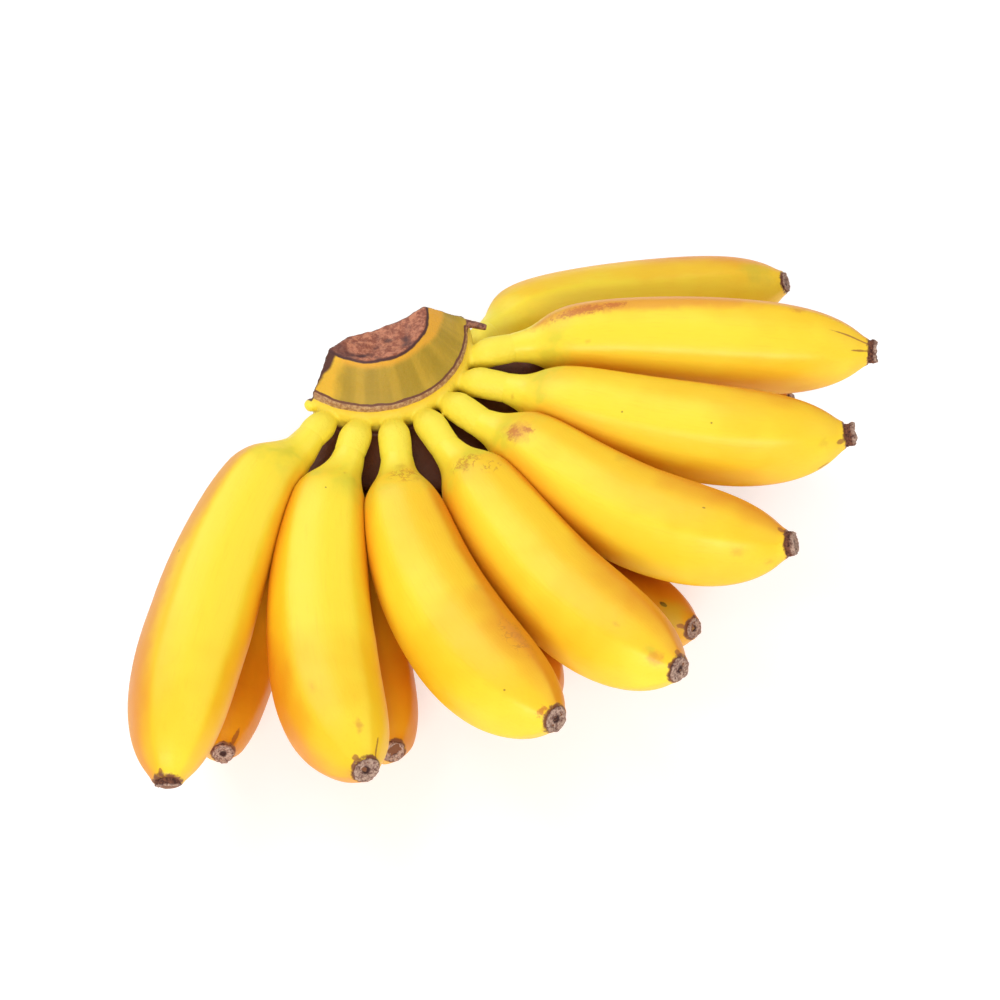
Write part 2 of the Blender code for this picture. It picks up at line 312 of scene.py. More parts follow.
def drawSpine(name, handles):
    putDown()
    bpy.ops.curve.primitive_bezier_curve_add(location=(0, 0, 0))
    spine = newPiece(name + "_spine")
    spine.data.twist_mode = "Z_UP"
    spine.data.resolution_u = hand["curveSteps"]
    start, end = spine.data.splines[0].bezier_points
    for point in (start, end):
        point.handle_left_type = point.handle_right_type = "FREE"
    start.co, start.handle_right, end.handle_left, end.co = handles
    start.handle_left = start.co * 2 - start.handle_right
    end.handle_right = end.co * 2 - end.handle_left
    return spine


def bendAlong(piece, name, handles):
    spine = drawSpine(name, handles)
    addModifier(piece, "CURVE", object=spine, deform_axis="POS_X")
    bpy.data.objects.remove(spine)


def leanShoulder(banana, length, finger):
    # the stalk sits off the middle: the shoulder juts out to one side and evens out along the banana
    juts, side = finger.get("shoulder", (0, 0))
    turn = math.radians(side)
    places = pointsOf(banana)
    share = places[:, 0] / length
    shift = np.interp(share, *np.array(hand["shoulderRun"]).T) * juts * mm
    places[:, 1] -= shift * math.sin(turn)
    places[:, 2] += shift * math.cos(turn)
    banana.data.vertices.foreach_set("co", places.ravel())


def bendBanana(master, name, finger):
    handles = settledHandles(finger)
    _, length, _ = runOf(handles)
    pickUp(master)
    bpy.ops.object.duplicate()
    banana = newPiece(name + "_skin")
    bpy.ops.object.mode_set(mode="EDIT")
    bpy.ops.mesh.select_all(action="SELECT")
    # with no window a turn runs the other way, so the sign is changed
    turned = -math.radians(finger["roll"])
    bpy.ops.transform.rotate(value=turned, orient_axis="X", center_override=(0, 0, 0))
    across = finger["girth"] / bananaForm["girth"]
    along = (length / mm - finger["neck"] - finger.get("tipOut", 0)) / bananaForm["length"]
    bpy.ops.transform.resize(value=(along, across, across), center_override=(0, 0, 0))
    bpy.ops.transform.translate(value=(finger["neck"] * mm, 0, 0))
    bpy.ops.object.mode_set(mode="OBJECT")
    leanShoulder(banana, length, finger)
    bendAlong(banana, name, handles)
    return banana


def pointsOf(piece):
    places = np.empty(len(piece.data.vertices) * 3)
    piece.data.vertices.foreach_get("co", places)
    return places.reshape(-1, 3)


def pressTogether(bananas):
    # where two bananas overlap, each gives way by half, so both get a flat where they touch
    faces = [tuple(face.vertices) for face in bananas[0].data.polygons]
    skins = [pointsOf(banana) for banana in bananas]
    reach, gap = hand["contactReach"] * mm, hand["contactGap"] * mm
    for _ in range(hand["contactRounds"]):
        trees = [BVHTree.FromPolygons(skin.tolist(), faces) for skin in skins]
        boxes = [(skin.min(axis=0) - reach, skin.max(axis=0) + reach) for skin in skins]
        moved = [skin.copy() for skin in skins]
        distances = [np.full(len(skin), reach) for skin in skins]
        for number, skin in enumerate(skins):
            for other, tree in enumerate(trees):
                if other == number:
                    continue
                low, high = boxes[other]
                for index in np.flatnonzero(np.all((skin > low) & (skin < high), axis=1)):
                    place = Vector(skin[index])
                    nearest, normal, _, _ = tree.find_nearest(place, reach)
                    if nearest is None:
                        continue
                    distances[number][index] = min(distances[number][index], (place - nearest).length)
                    depth = gap - (place - nearest).dot(normal)
                    if 0 < depth:
                        moved[number][index] += np.array(normal) * depth / 2
        skins = moved
    for banana, skin, distance in zip(bananas, skins, distances):
        skin[:, 2] = np.maximum(skin[:, 2], 0)
        banana.data.vertices.foreach_set("co", skin.ravel())
        banana.data.update()
        # how near each point is to another banana, which the peel uses for its painted contact shade
        nearness = (1 - distance / reach).astype(np.float32)
        banana.data.attributes.new("nearness", "FLOAT", "POINT").data.foreach_set("value", nearness)


# The dried end of the flower, along X from where the peel stops
tipForm = {
    "sides": 12,
    "flat": 0.9,              # the middle of each of its six sides, to its corners
    "cornerReach": 0.4,       # share of a side's turn, to each side of a corner
    "flatFrom": 2.5,          # distance from the middle
    "length": 3,
    "levels": 3,
    "reliefs": [(3.5, 1.3), (1.1, 0.6)],      # size and depth
    "outline": [
        (-1.6, 3.2), (-0.6, 3.8), (0.6, 3.9), (1.8, 3.85), (2.6, 3.75), (3.0, 3.35), (2.8, 2.8), (2.3, 2.1),
        (2.5, 1.3), (2.2, 0.6),
    ],
}


def modelTip():
    form = tipForm
    tip = drawPiece("straight_tip", form["sides"], form["outline"])
    sideTurn = math.pi / 3

    def onSide(place):
        turn = math.atan2(place.y, place.z) / sideTurn
        return abs(turn - round(turn)) > form["cornerReach"] and place.yz.length > form["flatFrom"] * mm

    selectPoints(tip, onSide)
    bpy.ops.transform.resize(value=(1, form["flat"], form["flat"]), center_override=(0, 0, 0))
    faceOut()
    roundOff(tip, form["levels"])
    layAttribute(tip)
    return tip


def placeTip(master, name, finger):
    _, _, beforeEnd, end = settledHandles(finger)
    pickUp(master)
    bpy.ops.object.duplicate()
    tip = newPiece(name.replace("banana", "tip") + "_dried")
    along = (end - beforeEnd).normalized()
    side = along.cross(Vector((0, 0, 1))).normalized()
    frameAtEnd = Matrix((along, -side, side.cross(along))).transposed().to_4x4()
    size = finger["girth"] / bananaForm["girth"]
    tipLength = tipForm["length"] * size
    stretch = 1 + finger.get("tipOut", 0) / tipLength
    frameAtEnd.translation = end - along * tipLength * stretch * mm
    droop = Matrix.Rotation(math.radians(finger.get("tipDroop", 0)), 4, "Y")
    turned = Matrix.Rotation(math.radians(finger["roll"]), 4, "X")
    grown = Matrix.Diagonal((size * stretch, size, size, 1))
    tip.matrix_world = frameAtEnd @ droop @ turned @ grown
    applyPlace(tip)
    for size, depth in tipForm["reliefs"]:
        roughen(tip, size, depth)
    return tip


# The crown: a half-moon of stalk with a scooped cut on top
crownForm = {
    "axis": (-5.1, 70.4),
    "sides": 96,
    # height and radius; the step at 46 to 49 is the scar where the leaf sat
    "outline": [
        (19.0, 6), (19.6, 13), (22, 19.5), (27, 25.0), (32, 27.6), (37, 29.4), (41, 30.2), (43, 30.3),
        (44.8, 29.8), (46.2, 28.8), (46.7, 28.6), (47.1, 29.0), (48.5, 28.3), (49.4, 27.2), (50.3, 26.1),
        (52, 24.6), (56, 21.2), (60.5, 17), (64, 13.5), (65, 6),
    ],
    "leanFrom": 49,
    "lean": -0.22,
    "scoopCentre": (-6, 67.4, 96),
    "scoopRadius": 40,
    "scoopRelief": (5, 2),      # size and depth
    "backCuts": [((-16, 67, 60), 20), ((-8, 66.4, 60), -9.5)],      # place and turn about Z
    "cutterSize": 90,
    "voxel": 0.5,
    "smoothing": 7,
    "relief": (3, 0.25),
    # along each stalk from the collar: place and radius
    "stalk": [(-9, 1.2), (-1, 2.0), (1.5, 3.3), (3.5, 4.4), (6, 4.95), (9.5, 4.8), (14, 4.2), (15, 3)],
    "stalkSides": 16,
    "stalkRise": 10,            # this much of it comes up out of the collar
    "stalkDrop": 0.022,
    "stalkNeck": 8,             # from here on it moves out by the banana's neck
    # the flesh that joins the two rows of stalks and fills the gaps between them, where the crown paints
    # their shade: middle and half sizes
    "cushions": [
        ((0, 49.4, 31), (38, 32, 6)), ((-34, 46.5, 29.5), (11, 11, 5.5)), ((36, 45, 29), (8, 8, 5)),
    ],
    "cushionBack": 61.9,
    "sliver": [(17.5, 61.8, 48.9), (25.7, 54.2, 47.6)],
    "sliverRadii": (1.5, 1.1),
    "nub": (-33.4, 60.4, 43.4),
    "nubRadius": 2.1,
}


def modelStalk():
    form = crownForm

    def rising(run):
        return (run, 0, -form["stalkDrop"] * max(0, form["stalkRise"] - run) ** 2)

    stalk = drawPiece("stalk", form["stalkSides"], form["stalk"], rising)
    faceOut()
    roundOff(stalk, 1)
    return stalk


def cutAway(piece, cutter):
    addModifier(piece, "BOOLEAN", operation="DIFFERENCE", solver="EXACT", object=cutter)
    bpy.data.objects.remove(cutter)


def modelCrown():
    form = crownForm
    axisX, axisY = form["axis"]

    def leaning(height):
        return (axisX + form["lean"] * max(0, height - form["leanFrom"]), axisY, height)

    crown = drawPiece("crown_flesh", form["sides"], form["outline"], leaning, (0, 0, 0))
    faceOut()
    bpy.ops.mesh.primitive_ico_sphere_add(
        subdivisions=6, radius=form["scoopRadius"] * mm, location=Vector(form["scoopCentre"]) * mm
    )
    scoop = newPiece("scoop")
    applyPlace(scoop)
    roughen(scoop, *form["scoopRelief"])
    cutAway(crown, scoop)
    cutterSize = form["cutterSize"] * mm
    for place, turn in form["backCuts"]:
        bpy.ops.mesh.primitive_cube_add(size=cutterSize, location=(0, cutterSize / 2, 0))
        slab = newPiece("slab")
        applyPlace(slab)
        slab.location = Vector(place) * mm
        slab.rotation_euler = (0, 0, math.radians(turn))
        applyPlace(slab)
        cutAway(crown, slab)

    stalk = modelStalk()
    parts = []
    for name, finger in fingers.items():
        pickUp(stalk)
        bpy.ops.object.duplicate()
        copy = newPiece(name + "_stalk")
        bpy.ops.object.mode_set(mode="EDIT")
        selectPoints(copy, lambda place: place.x > form["stalkNeck"] * mm)
        bpy.ops.transform.translate(value=(finger["neck"] * mm, 0, 0))
        bpy.ops.mesh.select_all(action="SELECT")
        across = finger["girth"] / bananaForm["girth"]
        bpy.ops.transform.resize(value=(1, across, across), center_override=(0, 0, 0))
        bpy.ops.object.mode_set(mode="OBJECT")
        bendAlong(copy, name, settledHandles(finger))
        parts.append(copy)
    bpy.data.objects.remove(stalk)
    start, end = (Vector(place) * mm for place in form["sliver"])
    startRadius, endRadius = form["sliverRadii"]
    putDown()
    bpy.ops.mesh.primitive_cone_add(
        vertices=12, radius1=startRadius * mm, radius2=endRadius * mm, depth=(end - start).length,
        location=(start + end) / 2, rotation=(end - start).to_track_quat("Z", "Y").to_euler(),
    )
    parts.append(newPiece("sliver"))
    bpy.ops.mesh.primitive_ico_sphere_add(
        subdivisions=3, radius=form["nubRadius"] * mm, location=Vector(form["nub"]) * mm
    )
    parts.append(newPiece("nub"))
    for middle, size in form["cushions"]:
        bpy.ops.mesh.primitive_uv_sphere_add(
            segments=48, ring_count=24, radius=mm, location=Vector(middle) * mm, scale=size
        )
        cushion = newPiece("cushion")
        applyPlace(cushion)
        bpy.ops.object.mode_set(mode="EDIT")
        bpy.ops.mesh.select_all(action="SELECT")
        bpy.ops.mesh.bisect(
            plane_co=(0, form["cushionBack"] * mm, 0), plane_no=(0, 1, 0), use_fill=True, clear_outer=True
        )
        bpy.ops.object.mode_set(mode="OBJECT")
        parts.append(cushion)
    pickUp(*parts, crown)
    bpy.ops.object.join()
    addModifier(crown, "REMESH", mode="VOXEL", voxel_size=form["voxel"] * mm)
    addModifier(crown, "SMOOTH", factor=0.5, iterations=form["smoothing"])
    roughen(crown, *form["relief"])
    return crown


# The curve between a colour picker's shades, 0 to 255, and the light that a shader takes
pickerCurve = {"full": 255, "offset": 0.055, "power": 2.4}


def linear(*shades):
    full, offset, power = pickerCurve.values()
    return tuple(((shade / full + offset) / (1 + offset)) ** power for shade in shades) + (1,)


def shadesOf(table):
    return {key: linear(*value) for key, value in table.items()}


class Recipe:
    # a material and the few kinds of node that these are made from

    def __init__(self, name):
        self.material = bpy.data.materials.new(name)
        self.material.use_nodes = True
        self.tree = self.material.node_tree
        self.shader = self.tree.nodes["Principled BSDF"]
        self.object = self.add("TexCoord").outputs["Object"]

    def put(self, socket, value):
        if isinstance(value, bpy.types.NodeSocket):
            self.tree.links.new(value, socket)
        else:
            socket.default_value = value

    def add(self, kind, inputs=(), **settings):
        node = self.tree.nodes.new("ShaderNode" + kind)
        for setting, value in settings.items():
            setattr(node, setting, value)
        for socket, value in dict(inputs).items():
            self.put(node.inputs[socket], value)
        return node

    def maths(self, operation, first, second=0.0, third=0.0):
        return self.add("Math", {0: first, 1: second, 2: third}, operation=operation).outputs[0]

    def vectors(self, operation, first, second=(0, 0, 0)):
        return self.add("VectorMath", {0: first, 1: second}, operation=operation).outputs

    def both(self, first, second):
        return self.maths("MULTIPLY", first, second)

    def length(self, vector):
        return self.vectors("LENGTH", vector)["Value"]

    def parts(self, vector):
        return self.add("SeparateXYZ", {0: vector}).outputs

    def noise(self, vector, size, detail=3, roughness=0.5, distortion=0.0, seed=0.0):
        # size is the width of its patches in millimetres
        settings = {
            "Vector": vector, "W": seed, "Scale": 1 / (size * mm), "Detail": detail, "Roughness": roughness,
            "Distortion": distortion,
        }
        return self.add("TexNoise", settings, noise_dimensions="4D").outputs["Fac"]

    def between(self, value, low, high):
        # 0 at low, 1 at high, and smooth between; low may be the larger
        settings = {"Value": value, "From Min": low, "From Max": high}
        return self.add("MapRange", settings, interpolation_type="SMOOTHSTEP").outputs["Result"]

    def blend(self, share, first, second):
        return self.add("Mix", {0: share, 6: first, 7: second}, data_type="RGBA").outputs[2]

    def bump(self, height, distance, normal=None):
        node = self.add("Bump", {"Height": height, "Distance": distance * mm})
        if normal:
            self.put(node.inputs["Normal"], normal)
        return node.outputs["Normal"]

    def finish(self, colour, roughness, normal, **sockets):
        self.put(self.shader.inputs["Base Color"], colour)
        self.put(self.shader.inputs["Roughness"], roughness)
        self.put(self.shader.inputs["Normal"], normal)
        for socket, value in sockets.items():
            self.put(self.shader.inputs[socket.replace("_", " ")], value)
        return self.material


# Peel colours as a colour picker shows them
peelShades = {
    "lemon": (253, 224, 54),
    "gold": (251, 203, 36),
    "orange": (232, 150, 22),
    # the painted shade of the lower row
    "paintedUnderShade": (220, 142, 14),
    "neck": (250, 228, 68),
    "collar": (250, 212, 64),
    "green": (214, 206, 56),
    "brown": (126, 74, 38),
    # painted shade of the gaps between the two rows of stalks
    "paintedGapShade": (104, 52, 24),
}

# Each kind of mark: shade, strength, grain size and reach of its ragged edge, and how soft that is;
# line: how far to each side a thin wandering line ends and is full
markKinds = {
    "cork": dict(shade=(196, 104, 40), strength=0.75, grain=0.9, ragged=2.6, soft=0.7),
    "smudge": dict(shade=(210, 160, 40), strength=0.45, grain=1.6, ragged=1.6, soft=1.2),
    "speck": dict(shade=(110, 56, 26), strength=0.6, grain=1.0, ragged=0.5, soft=0.4),
    "spot": dict(shade=(60, 28, 18), strength=0.95, grain=1.0, ragged=0.5, soft=0.3),
    "crease": dict(shade=(150, 80, 38), strength=0.75, grain=1.2, ragged=0.9, soft=0.4),
    "tan": dict(shade=(218, 140, 50), strength=0.6, grain=1.6, ragged=1.4, soft=0.9),
    "scribble": dict(
        shade=(196, 118, 36), strength=0.6, grain=2.8, ragged=0.8, soft=0.5, line=(0.045, 0.01)
    ),
    "flush": dict(shade=(230, 146, 50), strength=0.7, grain=6.0, ragged=0.6, soft=0.6),
    "green": dict(shade=(200, 186, 50), strength=0.5, grain=4.0, ragged=1.0, soft=0.9),
}

# kind, share of the length, degrees from the top, then length and width in millimetres
marks = {
    "upper_banana_1": [
        ("speck", 0.50, 41, 1.0, 0.8), ("crease", 0.985, 18, 1.5, 1.4), ("flush", 0.34, 57, 66, 20),
        ("flush", 0.68, 61, 66, 18),
    ],
    "upper_banana_2": [
        ("crease", 0.97, -62, 7, 0.8), ("crease", 0.985, 18, 2, 2), ("smudge", 0.168, -26, 1.6, 1.4),
        ("speck", 0.233, -4, 0.7, 0.7), ("smudge", 0.80, 20, 6, 3), ("tan", 0.93, -20, 5, 3),
    ],
    "upper_banana_3": [
        ("scribble", 0.80, -34, 22, 10), ("tan", 0.80, -36, 16, 7), ("cork", 0.982, 30, 2.5, 4),
        ("smudge", 0.143, -9, 4, 5), ("scribble", 0.18, -15, 9, 12), ("smudge", 0.20, -30, 6, 6),
        ("smudge", 0.60, -30, 5, 4), ("speck", 0.90, 30, 0.8, 0.8),
    ],
    "upper_banana_4": [
        ("smudge", 0.20, 20, 7, 6), ("scribble", 0.19, 12, 8, 12), ("scribble", 0.24, -14, 6, 8),
        ("smudge", 0.85, 17, 5, 2), ("green", 0.945, 21, 5, 4), ("crease", 0.985, -29, 2, 2),
        ("tan", 0.96, 30, 5, 6),
    ],
    "upper_banana_5": [
        ("tan", 0.215, 16, 13, 10), ("cork", 0.205, 22, 6, 6), ("cork", 0.235, 6, 5, 3),
        ("speck", 0.79, 0, 1.4, 0.7), ("smudge", 0.89, 50, 6, 5), ("smudge", 0.955, 82, 4, 3),
        ("smudge", 0.50, -28, 7, 5), ("crease", 0.98, -20, 2.5, 2),
    ],
    "upper_banana_6": [
        ("smudge", 0.065, 70, 4, 4), ("smudge", 0.115, 60, 2, 4), ("smudge", 0.15, 85, 4, 3),
        ("crease", 0.932, 108, 4, 0.9), ("smudge", 0.943, 49, 5, 5), ("speck", 0.42, 30, 0.8, 0.8),
        ("speck", 0.66, 25, 0.8, 0.8), ("crease", 0.98, 60, 2.5, 2),
    ],
    "upper_banana_7": [
        ("flush", 0.46, -22, 88, 11), ("tan", 0.27, -14, 38, 7), ("tan", 0.17, -26, 14, 5),
        ("cork", 0.265, -12, 22, 4.5), ("cork", 0.35, -16, 8, 3),
        ("crease", 0.952, 3, 15, 0.8), ("crease", 0.97, 38, 6, 0.8), ("tan", 0.81, -20, 7, 4),
        ("smudge", 0.27, 40, 3, 2),
    ],
    "lower_banana_1": [("crease", 0.97, -57, 6, 2)],
    "lower_banana_4": [
        ("spot", 0.92, 4, 3.2, 1.7), ("green", 0.95, 10, 14, 14), ("crease", 0.98, 40, 3, 2),
    ],
    "lower_banana_7": [
        ("crease", 0.13, -93, 7, 3), ("crease", 0.12, 118, 11, 1.2), ("tan", 0.36, -60, 22, 3),
        ("tan", 0.62, -60, 12, 2.5), ("green", 0.93, 0, 14, 14),
    ],
}


def addMark(mix, colour, skin, mark, seed):
    kind, share, angle, length, width = mark
    values = markKinds[kind]
    straight, run, turn, radial = skin
    away = mix.maths("SUBTRACT", run, share * bananaForm["length"] * mm)
    along = mix.maths("DIVIDE", away, length / 2 * mm)
    away = mix.maths("WRAP", mix.maths("SUBTRACT", turn, math.radians(angle)), math.pi, -math.pi)
    aside = mix.maths("DIVIDE", mix.both(away, radial), width / 2 * mm)
    squares = mix.maths("ADD", mix.maths("POWER", along, 2), mix.maths("POWER", aside, 2))
    distance = mix.maths("SQRT", squares)
    # the ragged edge also leaves holes inside
    edge = mix.noise(straight, values["grain"], 3, 0.6, seed=seed)
    distance = mix.maths("MULTIPLY_ADD", edge, values["ragged"], distance)
    limit = 1 + values["ragged"] / 2
    mask = mix.between(distance, limit, limit - values["soft"])
    if "line" in values:
        # thin wandering lines within the mark
        line = mix.maths("ABSOLUTE", mix.maths("SUBTRACT", edge, 0.5))
        mask = mix.both(mask, mix.between(line, *values["line"]))
    return mix.blend(mix.both(mask, values["strength"]), colour, linear(*values["shade"]))


# How the peel's colours run; a pair is where a colour begins and where it is full
peelForm = {
    # painted light: the side of the peel that faces this way is painted lemon as if lit
    "paintedLightFrom": (-0.63, -0.57, 0.53),      # the three that a banana may have its own of
    # painted shade: how strong the orange near a neighbour is
    "contactShade": 0.6,
    "greening": 0.6,
    "paintedLightFacing": -0.8,                   # painted shade: how much turning away from the painted light adds to the tone from lemon to orange
    "patches": 0.6,
    "endGold": 0.25,
    "goldTones": (-0.38, 0.0),
    "orangeTones": (0.0, 0.5),
    "shadedUnderRow": 0.65,                  # painted shade: how far the lower row, under the upper one, is darkened towards deep orange
    "threads": 0.07,
    "threadShare": (0.5, 0.75),
    "greenShare": (0.42, 0.66),
    "nearness": (0.2, 0.95),
    # share of the length
    "endGoldRun": (0.5, 0.85),
    "neckRun": (0.30, 0.16),
    "neckWobble": 0.12,
    "greenStart": (0.10, 0.17),
    "greenEnd": (0.27, 0.19),
    "brownRun": (0.996, 1.002),
    "brownWobble": 0.02,
    # millimetres
    "gapShadeRun": (58, 40),
    "patchSize": 20,
    "neckSize": 8,
    "greenSize": 7,
    "threadSize": 0.6,
    "brownSize": 1.6,
    "poreSize": 0.45,
    "dentSize": 7,
    "poreDepth": 0.03,
    "threadDepth": 0.04,
    "dentDepth": 0.25,
    "glowDepth": 1.5,
    "roughness": (0.36, 0.54),
}


def peelMaterial(name, seed, finger):
    form = {**peelForm, **finger}
    mix = Recipe(name + "_peel")
    shade = shadesOf(peelShades)
    # the last banana of the lower row lies beside the others, not under them, so it gets no painted shade
    shadedUnderRow = not inUpperRow(finger) and "rootHeight" not in finger
    straight = mix.add("Attribute", attribute_name="straight").outputs["Vector"]
    run, across, up = mix.parts(straight)
    share = mix.maths("DIVIDE", run, bananaForm["length"] * mm)
    turn = mix.maths("ARCTAN2", mix.maths("MULTIPLY", across, -1.0), up)
    radial = mix.length(mix.vectors("MULTIPLY", straight, (0, 1, 1))[0])
    skin = (straight, run, turn, radial)
    normal = mix.add("NewGeometry").outputs["Normal"]
    paintedLightFacing = mix.vectors("DOT_PRODUCT", normal, form["paintedLightFrom"])["Value"]
    # painted light and shade: lemon where the skin faces the painted light, gold and then orange where it
    # turns away as if in shade, in broad patches of random tone
    patches = mix.noise(straight, form["patchSize"], 2, seed=seed)
    shadeAndTone = mix.maths("MULTIPLY_ADD", paintedLightFacing, form["paintedLightFacing"], mix.both(patches, form["patches"]))
    # and more gold towards the blossom end
    shadeAndTone = mix.maths("MULTIPLY_ADD", mix.between(share, *form["endGoldRun"]), form["endGold"], shadeAndTone)
    colour = mix.blend(mix.between(shadeAndTone, *form["goldTones"]), shade["lemon"], shade["gold"])
    colour = mix.blend(mix.between(shadeAndTone, *form["orangeTones"]), colour, shade["orange"])
    # painted shade: orange where a neighbour is close, standing in for the shadow between touching bananas
    nearness = mix.add("Attribute", attribute_name="nearness").outputs["Fac"]
    paintedContactShade = mix.both(mix.between(nearness, *form["nearness"]), form["contactShade"])
    colour = mix.blend(paintedContactShade, colour, shade["orange"])
    if shadedUnderRow:
        # painted shade: the lower row lies in the upper row's shadow, so its colour is darkened
        colour = mix.blend(form["shadedUnderRow"], colour, shade["paintedUnderShade"])
    # paler and here and there green at the stalk
    wobble = mix.noise(straight, form["neckSize"], 2, seed=seed + 3)
    neckShare = mix.maths("MULTIPLY_ADD", wobble, form["neckWobble"], share)
    colour = mix.blend(mix.between(neckShare, *form["neckRun"]), colour, shade["neck"])
    greening = mix.between(mix.noise(straight, form["greenSize"], 2, seed=seed + 11), *form["greenShare"])
    greenRun = mix.both(mix.between(share, *form["greenStart"]), mix.between(share, *form["greenEnd"]))
    greening = mix.both(mix.both(greening, greenRun), form["greening"])
    colour = mix.blend(greening, colour, shade["green"])
    # faint fibres along the skin
    stretched = mix.vectors("MULTIPLY", straight, (0.05, 1, 1))[0]
    fibres = mix.noise(stretched, form["threadSize"], 2, seed=seed)
    threads = mix.both(mix.between(fibres, *form["threadShare"]), form["threads"])
    colour = mix.blend(threads, colour, shade["orange"])
    for number, mark in enumerate(marks.get(name, [])):
        turned = (*mark[:2], mark[2] - finger["roll"], *mark[3:])
        colour = addMark(mix, colour, skin, turned, seed + number)
    # the last of the peel is brown and ragged
    wobble = mix.noise(straight, form["brownSize"], 3, seed=seed + 5)
    ragged = mix.maths("MULTIPLY_ADD", wobble, form["brownWobble"], share)
    colour = mix.blend(mix.between(ragged, *form["brownRun"]), colour, shade["brown"])
    if shadedUnderRow:
        # painted shade: the stalks of the lower row darken to brown where they meet the crown, in the shadow
        # between the rows
        centre = Vector((*hand["collarCentre"], hand["lowerRoots"][1])) * mm
        fromRoot = mix.length(mix.vectors("SUBTRACT", mix.object, centre)[0])
        start, full = form["gapShadeRun"]
        colour = mix.blend(mix.between(fromRoot, start * mm, full * mm), colour, shade["paintedGapShade"])
    pores = mix.noise(straight, form["poreSize"], 2, seed=seed)
    dents = mix.noise(straight, form["dentSize"], 2, seed=seed + 2)
    normal = mix.bump(fibres, form["threadDepth"], mix.bump(pores, form["poreDepth"]))
    normal = mix.bump(dents, form["dentDepth"], normal)
    smoothest, roughest = form["roughness"]
    roughness = mix.add("MapRange", {"Value": dents, "To Min": smoothest, "To Max": roughest})
    return mix.finish(
        colour, roughness.outputs["Result"], normal, Subsurface_Weight=0.12,
        Subsurface_Radius=(1, 0.5, 0.1), Subsurface_Scale=form["glowDepth"] * mm, Specular_IOR_Level=0.4,
    )


tipShades = {
    "sideDark": (62, 36, 34),
    "sideLight": (134, 84, 62),
    "faceDark": (120, 84, 74),
    "faceLight": (204, 172, 152),
    "middle": (70, 44, 40),
}


def driedMaterial():
    mix = Recipe("dried_tip")
    shade = shadesOf(tipShades)
    straight = mix.add("Attribute", attribute_name="straight").outputs["Vector"]
    run = mix.parts(straight)["X"]
    radial = mix.length(mix.vectors("MULTIPLY", straight, (0, 1, 1))[0])
    grain = mix.noise(mix.object, 0.7, 4, 0.7)
    side = mix.blend(mix.between(grain, 0.35, 0.65), shade["sideDark"], shade["sideLight"])
    face = mix.blend(mix.between(grain, 0.35, 0.62), shade["faceDark"], shade["faceLight"])
    onFace = mix.both(mix.between(run, 2.1 * mm, 2.4 * mm), mix.between(radial, 3.6 * mm, 3.2 * mm))
    colour = mix.blend(onFace, side, face)
    colour = mix.blend(mix.between(radial, 1.5 * mm, 0.8 * mm), colour, shade["middle"])
    normal = mix.bump(grain, 0.5)
    return mix.finish(colour, 0.8, normal, Specular_IOR_Level=0.25)


crownShades = {
    "wallDark": (174, 142, 30),
    "wallLight": (198, 160, 42),
    "wallEdge": (236, 172, 42),
    "leftEnd": (242, 188, 46),
    "scarDark": (160, 112, 78),
    "scarLight": (206, 166, 120),
    "line": (112, 64, 44),
    "cutDark": (140, 72, 48),
    "cutLight": (200, 128, 94),
    "cutLeft": (92, 46, 40),
    "leftRim": (84, 44, 34),
    "rim": (78, 38, 36),
    "backDark": (66, 36, 30),
    "backLight": (120, 72, 50),
    "sliverDark": (96, 50, 40),
    "sliverLight": (158, 104, 78),
}


# Where the crown's colours lie; a pair is where a colour begins and where it is full
crownBands = {
    # millimetres: height, distance from the axis, depth below the cut, or place from left to right
    "wall": (48.8, 49.1),
    "scarStart": (47.0, 47.3),
    "scarEnd": (49.2, 49.0),
    "lineStart": (48.7, 48.8),
    "lineEnd": (49.3, 49.2),
    "gapShadeStart": (22, 25),
    "gapShadeEnd": (40.5, 37.5),
    "leftRimStart": (48, 51),
    "leftRimGrows": (50, 58),
    "sliverHeight": (46.6, 47.0),
    "inside": (29.4, 29.0),
    "collar": (28.8, 31),
    "inCrown": (30.2, 29.8),
    "sliverRadius": (28.3, 28.8),
    "wallEdge": (4.2, 2),
    "rim": (1.9, 1.5),
    "cut": (1.1, 0.6),
    "leftRim": (-0.6, 0.6),
    "behind": (-0.3, 0.1),
    "cutLeft": (-17, -20),
    # degrees from the front
    "gapShadeTurn": (66, 62),
    "sliverTurn": (58, 60),
    "leftEnd": (-41.25, -54.43),
    # strength of a noise
    "streaks": (0.35, 0.65),
    "scarGrain": (0.4, 0.65),
    "cutGrain": (0.4, 0.62),
    "backGrain": (0.4, 0.6),
}


